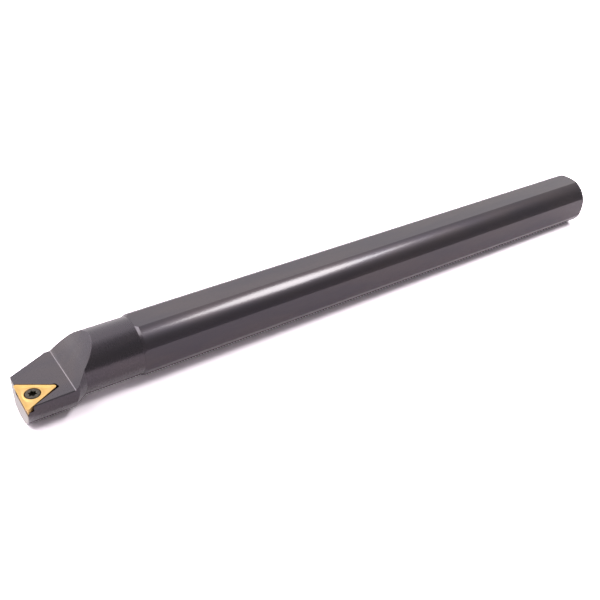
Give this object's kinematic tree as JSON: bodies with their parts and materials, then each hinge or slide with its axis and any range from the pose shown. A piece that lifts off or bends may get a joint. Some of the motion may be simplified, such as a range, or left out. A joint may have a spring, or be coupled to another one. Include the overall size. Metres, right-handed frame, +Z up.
{
  "type": "boring bar",
  "caption": "Right-hand indexable boring bar: round steel shank with clamping flats, necked offset head with chip gullet, and a triangular insert held by a countersunk screw.",
  "frame": {"origin": "centre of the shank's rear face, on the axis of the bar", "axes": "+X out of the rear face along the bar's axis, so the cutting end points to -X; -Y towards the cutting side; +Z up, square to the insert's top face, which lies at the height of the axis"},
  "size_m": [0.3048, 0.0279, 0.0266],
  "materials": {
    "oxide_steel": "black oxide, satin over fine milling and turning marks",
    "coated_carbide": "gold coloured coating, satin",
    "screw_steel": "dark oiled steel"
  },
  "bodies": {
    "bar": {"bar": "oxide_steel"},
    "insert": {"insert": "coated_carbide"},
    "insert_screw": {"insert_screw": "screw_steel"}
  },
  "joints": [
    {"name": "insert_lift", "type": "slide", "parent": "bar", "child": "insert", "axis": [0, 0, 1], "range_m": [0, 0.0056]},
    {"name": "screw_turn", "type": "hinge", "parent": "insert", "child": "insert_screw", "pos_m": [-0.29992, -0.00751, 0], "axis": [0, 0, 1], "range_deg": [0, 2880]}
  ],
  "couplings": [
    {"joint": "screw_turn", "follows": "insert_lift", "rad_per_m": 8976}
  ]
}
